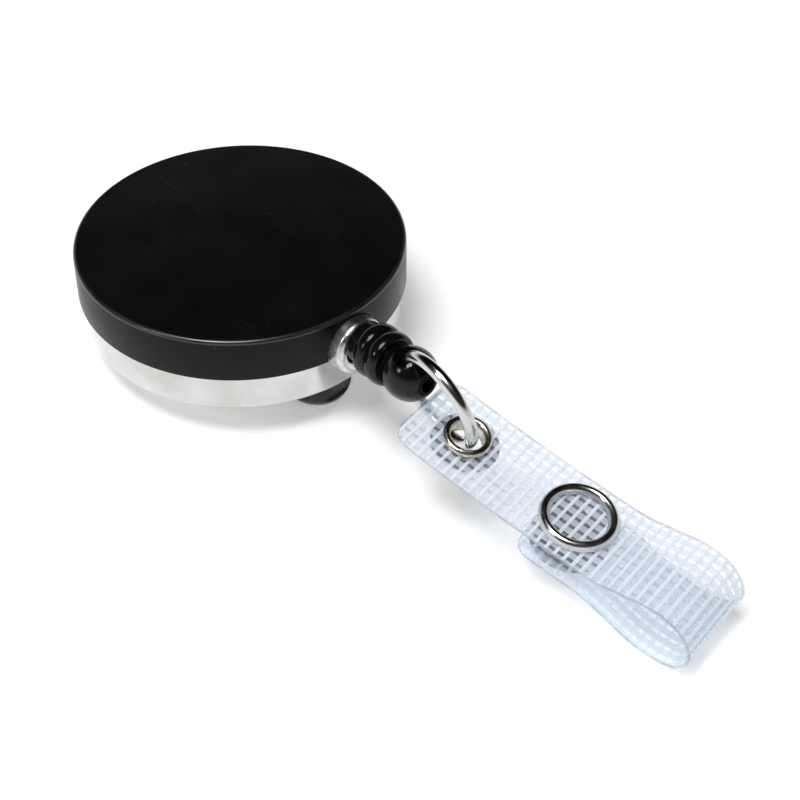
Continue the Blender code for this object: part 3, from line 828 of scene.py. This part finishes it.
def clip_path():
    """The clip's run (x, z): out along its leg, round the bend and along the tongue."""
    bend_x = CLIP_BEND[0]
    waist_x, waist_z = CLIP_WAIST
    leg = smooth_path([(CLIP_LEG_END, CLIP_LEG_Z), (bend_x + 0.4, CLIP_LEG_Z)], 0.5)
    bend = arc(CLIP_BEND, CLIP_BEND_RADIUS, 90, 262, 28)
    tongue = smooth_path([(waist_x - 8, waist_z - 0.15), CLIP_WAIST,
                          (waist_x + 2.6, waist_z - 0.45), CLIP_TIP], 0.4)
    return [Vector(point) for point in [*leg, *bend, *tongue]]


def build_clip(look):
    """The clip is one strip, whose tongue bends away from its riveted leg."""
    path = clip_path()
    stations = stations_along(path)
    length = stations[-1]
    sections = []
    for travelled in strip_samples(length, 0.5, CLIP_CORNER, CLIP_WIDTH / 2):
        spot, normal = along(path, stations, travelled)
        half = half_width(travelled, length, CLIP_WIDTH, CLIP_CORNER, CLIP_WIDTH / 2)
        sections.append([(spot.x + normal.x * lift, y, spot.y + normal.y * lift)
                         for y, lift in edge_loop(half)])
    clip = build("belt_clip_spring", loft(sections), CASE, look)
    cut(clip, drill(RIVET_HOLE, 1.2, shifted(CASE, (0, 0, CLIP_LEG_Z)), 48))
    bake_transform(clip)
    finish_piece(clip, "spring_steel", None, "clip_base", "clip_tongue")


def build_rivet(look):
    """The rivet's head is under the clip's leg and its shank goes up into the case."""
    seat = CLIP_LEG_Z - CLIP_THICK / 2 - GAP
    dome = seat - RIVET_HEAD_THICK
    outline = rounded([(0, dome, 0), (RIVET_HEAD, dome, 0.3), (RIVET_HEAD, seat, 0.04),
                       (RIVET_SHANK, seat, 0.05), (RIVET_SHANK, RIVET_TOP, 0.1), (0, RIVET_TOP, 0)])
    rivet = build("clip_rivet_domed", turned(outline, 64), CASE, look)
    finish_piece(rivet, "chrome", "case", "clip_rivet")


# ---------------------------------------------------------------- strap

def along(path, stations, travelled):
    """The point of a path at a station, and the normal there."""
    index = 0
    while index < len(stations) - 2 and stations[index + 1] < travelled:
        index += 1
    share = (travelled - stations[index]) / (stations[index + 1] - stations[index])
    spot = path[index].lerp(path[index + 1], share)
    before = path[max(index - 1, 0)]
    after = path[min(index + 2, len(path) - 1)]
    tangent = ((path[index + 1] - before).normalized() * (1 - share)
               + (after - path[index]).normalized() * share).normalized()
    return spot, Vector((-tangent.y, tangent.x))


def half_width(travelled, total, width, near, far):
    """Half the width of a strip whose ends have corners of radius near and far."""
    trim = 0.0
    for corner, distance in ((near, travelled), (far, total - travelled)):
        if distance < corner:
            trim = corner - math.sqrt(max(0.0, corner ** 2 - (corner - distance) ** 2))
    return max(width / 2 - trim, 0.15)


def strip_samples(total, step, near, far):
    """Stations along a strip, closer together over its round corners."""
    samples = [near * (1 - math.cos(math.radians(a))) for a in range(0, 90, 6)]
    count = round((total - near - far) / step)
    samples += [near + (total - near - far) * index / count for index in range(count + 1)]
    samples += [total - far * (1 - math.cos(math.radians(a))) for a in range(84, -1, -6)]
    return samples


STRAP_LINE = smooth_path(STRAP_PATH, 0.35)
STRAP_STATIONS = stations_along(STRAP_LINE)
STRAP_LENGTH = STRAP_STATIONS[-1]


def strap_spot(travelled, v, lift):
    """The point `travelled` along the strap, v to the side and `lift` out of its middle."""
    spot, normal = along(STRAP_LINE, STRAP_STATIONS, travelled)
    return (spot.x + normal.x * lift, v, spot.y + normal.y * lift)


def strap_half(travelled):
    """Half the strap's width at a station, less where its ends are rounded."""
    return half_width(travelled, STRAP_LENGTH, STRAP_WIDTH, STRAP_CORNER, STRAP_CORNER)


def embossing(travelled, v):
    """The scrim shows through the vinyl as a low, regular swell."""
    weft = math.cos(2 * math.pi * (travelled - WEFT_START) / WEFT_PITCH)
    warp = math.cos(2 * math.pi * (v - WARP_START) / WARP_PITCH)
    return EMBOSSING * (weft + warp)


def build_vinyl(look):
    """The clear strip, embossed on both faces and round at its edges."""
    across = 50
    edge = 0.13
    sections = []
    where = []
    for travelled in strip_samples(STRAP_LENGTH, 0.29, STRAP_CORNER, STRAP_CORNER):
        half = strap_half(travelled)
        rim = half - edge
        top = STRAP_THICK / 2
        loop = []
        for step in range(across + 1):
            v = rim - 2 * rim * step / across
            loop.append((v, top + embossing(travelled, v)))
        loop += arc((-rim, 0), edge, 130, 230, 4)
        for step in range(across + 1):
            v = -rim + 2 * rim * step / across
            loop.append((v, -top - embossing(travelled, v)))
        loop += arc((rim, 0), edge, -50, 50, 4)
        sections.append([strap_spot(travelled, v, lift) for v, lift in loop])
        where += [(travelled * MM, v * MM) for v, lift in loop]
    return build("strap_vinyl", loft(sections), STRAP, look, where, 60)


def tape(centres, width):
    """A flat thread through centres (travelled, v, lift), `width` wide across its run."""
    sections = []
    where = []
    top = THREAD_THICK / 2
    profile = [(-0.5, 0), (-0.4, top), (0, top * 1.15), (0.4, top),
               (0.5, 0), (0.4, -top), (0, -top * 1.15), (-0.4, -top)]
    first, last = centres[0], centres[-1]
    lengthways = abs(last[0] - first[0]) > abs(last[1] - first[1])
    for travelled, v, lift in centres:
        loop = []
        for side, rise in profile:
            s = travelled if lengthways else travelled + side * width
            y = v + side * width if lengthways else v
            loop.append(strap_spot(s, y, lift + rise))
            where.append((s * MM, y * MM))
        sections.append(loop)
    return sections, where


def joined(tapes):
    """All the tapes as one shape."""
    points, faces, where = [], [], []
    for sections, flat in tapes:
        shape = loft(sections)
        base = len(points)
        points += shape[0]
        faces += [tuple(index + base for index in face) for face in shape[1]]
        where += flat
    return (points, faces), where


def weave_lift(travelled, v, side):
    """The weft is laid over the warp (side 1) and both dip a little where they are bonded."""
    weft = math.pi * (travelled - WEFT_START) / WEFT_PITCH
    warp = math.pi * (v - WARP_START) / WARP_PITCH
    return side * WEAVE_LIFT + WEAVE_DIP * math.cos(weft) * math.cos(warp)


def build_warp(look):
    """The broad threads that run along the strap."""
    tapes = []
    count = int((STRAP_WIDTH / 2 - WARP_START) / WARP_PITCH) + 1
    for index in range(count):
        v = WARP_START + index * WARP_PITCH
        low = max(v - WARP_WIDTH / 2, -STRAP_WIDTH / 2 + WARP_MARGIN)
        high = min(v + WARP_WIDTH / 2, STRAP_WIDTH / 2 - WARP_MARGIN)
        middle = (low + high) / 2
        reach = max(abs(low), abs(high)) - (STRAP_WIDTH / 2 - STRAP_CORNER)
        trim = 0.15
        if reach > 0:
            trim += STRAP_CORNER - math.sqrt(max(0.0, STRAP_CORNER ** 2 - reach ** 2))
        steps = round((STRAP_LENGTH - 2 * trim) / (WEFT_PITCH / 4))
        centres = []
        for step in range(steps + 1):
            travelled = trim + (STRAP_LENGTH - 2 * trim) * step / steps
            centres.append((travelled, middle, weave_lift(travelled, v, -1)))
        tapes.append(tape(centres, high - low))
    shape, where = joined(tapes)
    return build("strap_warp_threads", shape, STRAP, look, where)


def build_weft(look):
    """The narrow threads that run across the strap."""
    tapes = []
    index = 0
    while WEFT_START + index * WEFT_PITCH < STRAP_LENGTH - 0.5:
        true = WEFT_START + index * WEFT_PITCH
        travelled = max(true + draw.uniform(-0.04, 0.04), 0.35)
        half = strap_half(travelled) - WEFT_MARGIN
        width = WEFT_WIDTH * draw.uniform(0.88, 1.15)
        steps = 40
        centres = []
        for step in range(steps + 1):
            v = -half + 2 * half * step / steps
            centres.append((travelled, v, weave_lift(true, v, 1)))
        tapes.append(tape(centres, width))
        index += 1
    shape, where = joined(tapes)
    return build("strap_weft_threads", shape, STRAP, look, where)


def build_strap(vinyl_look, warp_look, weft_look):
    """The vinyl and its threads all bend at the fold, from the upper layer to the flap."""
    pieces = [build_vinyl(vinyl_look), build_warp(warp_look), build_weft(weft_look)]
    for thing in pieces:
        hole = drill(GROMMET_HOLE, 3, shifted(STRAP, (GROMMET_U, 0, 0)))
        cut(thing, hole, sharp=60)
        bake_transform(thing)
        finish_piece(thing, "clear_vinyl", None)
    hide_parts("strap_upper", "strap_flap")


def build_grommet(look, washer_painted_shade_look):
    """The eyelet's lip is over the strap, and its tail is rolled out under the washer."""
    foot = STRAP_THICK / 2 + FITTING_GAP
    below = -foot - WASHER_THICK
    middle = (GROMMET_BORE + GROMMET_OUTER) / 2
    half = (GROMMET_OUTER - GROMMET_BORE) / 2
    roll = GROMMET_ROLL
    rolled = arc((GROMMET_BORE + 0.18 + roll, below - 0.12 - roll), roll, 90, -180, 12)
    lip = arc((middle, foot + half), half, -75, 180, 24)
    barrel = GROMMET_BORE + GROMMET_WALL
    here = shifted(STRAP, (GROMMET_U, 0, 0))
    outline = [*reversed(rolled), (barrel, below - 0.1), (barrel, foot), *lip,
               (GROMMET_BORE, below - 0.05)]
    grommet = build("grommet_eyelet_rolled", turned(outline, 96, True), here, look)
    finish_piece(grommet, "nickel", "strap", "grommet_eyelet")
    outline = rounded([(GROMMET_HOLE, -foot, 0.04), (WASHER_OUTER, -foot, 0.1),
                       (WASHER_OUTER, below, 0.1), (GROMMET_HOLE, below, 0.04)])
    # The washer lies under the strap; its darker nickel is painted shade.
    washer = build("grommet_washer_pressed", turned(outline, 96, True), here, washer_painted_shade_look)
    finish_piece(washer, "nickel", "strap", "grommet_washer")


def build_prong_ring(name, side, here, look, body, node):
    """A crowned ring over the layer (side 1) or under it (side -1)."""
    foot = STRAP_THICK / 2 + FITTING_GAP
    middle = (SNAP_OUTER + SNAP_INNER) / 2
    half = (SNAP_OUTER - SNAP_INNER) / 2
    outline = [(r, side * (foot + z * SNAP_CROWN)) for r, z in arc((middle, 0), half, 0, 180, 20)]
    ring = build(name, turned(outline, 120, True), here, look, sharp=50)
    finish_piece(ring, "chrome", body, node)


def build_snap(look, plate_painted_shade_look):
    """A ring and a socket on the upper layer, and a ring and a stud on the flap."""
    foot = STRAP_THICK / 2 + FITTING_GAP
    plate = foot + SNAP_PLATE_THICK
    above = shifted(STRAP, (SNAP_U, 0, SNAP_UPPER[0]), Matrix.Rotation(SNAP_UPPER[1], 4, "Y"))
    below = shifted(STRAP, (SNAP_U, 0, SNAP_LOWER[0]), Matrix.Rotation(SNAP_LOWER[1], 4, "Y"))
    build_prong_ring("snap_top_ring", 1, above, look, "strap", "snap_prong_ring_top")
    build_prong_ring("snap_bottom_ring", -1, below, look, "flap", "snap_prong_ring_bottom")
    inner = SNAP_CUP - 0.15
    outer = SNAP_CUP + SNAP_CUP_WALL
    mouth = -plate - SNAP_CUP_DEPTH
    outline = rounded([(inner, -foot - 0.3, 0.08), (SNAP_CUP + 0.45, -foot - 0.12, 0.15),
                       (SNAP_PLATE - 0.5, -foot - 0.02, 0.1), (SNAP_PLATE, -foot - 0.02, 0.16),
                       (SNAP_PLATE, -plate, 0.16), (outer, -plate, 0.1),
                       (outer, mouth, 0.2), (inner, mouth, 0.12)])
    # The socket and the stud lie under the strap's layers; their darker chrome is painted shade.
    socket = build("snap_socket_pressed", turned(outline, 96, True), above, plate_painted_shade_look)
    finish_piece(socket, "chrome", "strap", "snap_socket")
    neck = SNAP_POST - 0.1
    tip = plate + SNAP_POST_HEIGHT
    outline = rounded([(0, foot, 0), (SNAP_PLATE, foot, 0.14), (SNAP_PLATE, plate, 0.14),
                       (neck, plate, 0.1), (neck, tip - 0.9, 0.2), (SNAP_POST, tip - 0.5, 0.3),
                       (SNAP_POST - 0.35, tip, 0.3), (0, tip, 0)])
    stud = build("snap_stud_pressed", turned(outline, 96), below, plate_painted_shade_look)
    finish_piece(stud, "chrome", "flap", "snap_stud")


# ---------------------------------------------------------------- studio

def paint_hidden(looks):
    """The pieces inside the case keep their frame shapes and get their real finishes."""
    for node, (look, slot) in looks.items():
        thing = frame["nodes"][node]
        thing.data.materials.clear()
        thing.data.materials.append(look)


def soft_light(name, at, size, power):
    """A round soft light aimed at the reel."""
    light = bpy.data.lights.new(name, "AREA")
    light.shape = "DISK"
    light.size = size
    light.energy = power
    lamp = bpy.data.objects.new(name, light)
    bpy.context.collection.objects.link(lamp)
    lamp.location = at
    lamp.rotation_euler = (-Vector(at)).to_track_quat("-Z", "Y").to_euler()


def build_floor():
    """A wide white floor at the height the reel lies on."""
    look = Look("studio_floor", (0.93, 0.93, 0.93), 0.85, Emission_Strength=FLOOR_GLOW,
                Emission_Color=(1.0, 1.0, 1.0, 1.0))
    look.tint(look.noise(40.0, 3.0), (0.925, 0.925, 0.925), (0.94, 0.94, 0.94))
    half = 1200.0
    points = [(-half, -half, 0), (half, -half, 0), (half, half, 0), (-half, half, 0)]
    floor = build("studio_floor", (points, [(0, 1, 2, 3)]), Matrix.Identity(4), look.material)


def fading_glow(tree, toward, bright, dark, glow):
    """Light that fades from `glow` to nothing between two cosines of the angle to `toward`."""
    cosine = tree.nodes.new("ShaderNodeVectorMath")
    cosine.operation = "DOT_PRODUCT"
    cosine.inputs[1].default_value = toward
    direction = tree.nodes.new("ShaderNodeTexCoord").outputs["Generated"]
    tree.links.new(direction, cosine.inputs[0])
    ramp = tree.nodes.new("ShaderNodeMapRange")
    ramp.inputs["From Min"].default_value = bright
    ramp.inputs["From Max"].default_value = dark
    ramp.inputs["To Min"].default_value = glow
    ramp.inputs["To Max"].default_value = 0.0
    tree.links.new(cosine.outputs["Value"], ramp.inputs["Value"])
    return ramp.outputs["Result"]


def build_world():
    """A dim room with pale walls near the floor, and black high up beyond the reel."""
    world = bpy.data.worlds.new("studio")
    world.use_nodes = True
    bpy.context.scene.world = world
    tree = world.node_tree
    larger = tree.nodes.new("ShaderNodeMath")
    larger.operation = "MAXIMUM"
    tree.links.new(fading_glow(tree, FAR_SIDE, -0.1, 0.5, ROOM_GLOW), larger.inputs[0])
    tree.links.new(fading_glow(tree, (0, 0, 1), 0.12, 0.32, WALL_GLOW), larger.inputs[1])
    background = tree.nodes["Background"]
    background.inputs["Color"].default_value = (1.0, 1.0, 1.0, 1.0)
    tree.links.new(larger.outputs["Value"], background.inputs["Strength"])


def build_camera():
    """The camera stands where the reel is seen from in front and to the right."""
    aim = CASE @ (Vector(CAMERA_AIM) * MM)
    azimuth, elevation = math.radians(CAMERA_AZIMUTH), math.radians(CAMERA_ELEVATION)
    back = Vector((math.cos(elevation) * math.cos(azimuth),
                   math.cos(elevation) * math.sin(azimuth), math.sin(elevation)))
    back = CASE.to_3x3() @ back
    camera = bpy.data.cameras.new("camera")
    camera.lens = CAMERA_LENS
    camera.sensor_width = 36.0
    camera.clip_start = 0.01
    eye = bpy.data.objects.new("camera", camera)
    bpy.context.collection.objects.link(eye)
    up = CASE.to_3x3() @ Vector((0, 0, 1))
    right = up.cross(back).normalized()
    turn = Matrix((right, back.cross(right), back)).transposed().to_4x4()
    turn = turn @ Matrix.Rotation(math.radians(CAMERA_ROLL), 4, "Z")
    eye.matrix_world = Matrix.Translation(aim + back * CAMERA_DISTANCE * MM) @ turn
    bpy.context.scene.camera = eye


def main():
    """Builds every piece with its look, then the studio."""
    chrome_look = chrome()
    steel_look = spring_steel()
    cord_look = braided_cord()
    acetal_look = acetal()
    build_cap(satin_black(), polished_black())
    build_shell(chrome("shell_chrome", relief=0.02))
    build_eyelet(satin_silver())
    build_bead(gloss_black(), moulded_black())
    build_cord(cord_look)
    build_ring(chrome_look)
    build_clip(steel_look)
    build_rivet(chrome_look)
    build_strap(vinyl(), thread("warp_thread", (0.77, 0.86, 0.96), alpha=0.46, glow=0.35),
                thread("weft_thread", (0.91, 0.95, 1.0), alpha=0.68, glow=0.2))
    # The washer, socket and stud get darker copies of their platings: painted shade for where they
    # lie under the strap.
    build_grommet(nickel(), nickel("washer_nickel_painted_shade", painted_shade_tone=0.45))
    build_snap(chrome("snap_chrome", smudge=(0.16, 0.28)), chrome("snap_plate_chrome_painted_shade", painted_shade_tone=0.4))
    paint_hidden({
        "axle_post": (acetal_look, "white_acetal"),
        "spool": (acetal_look, "white_acetal"),
        "power_spring": (steel_look, "spring_steel"),
        "wound_cord": (cord_look, "black_cord"),
        "cord_knot": (cord_look, "black_cord"),
    })
    build_floor()
    build_world()
    build_camera()
    soft_light("overhead", at=(-0.05, -0.26, 0.9), size=0.46, power=7.0)
    soft_light("left", at=(-0.15, -0.45, 0.32), size=0.12, power=0.4)
    bpy.context.scene.view_settings.view_transform = "Standard"


main()
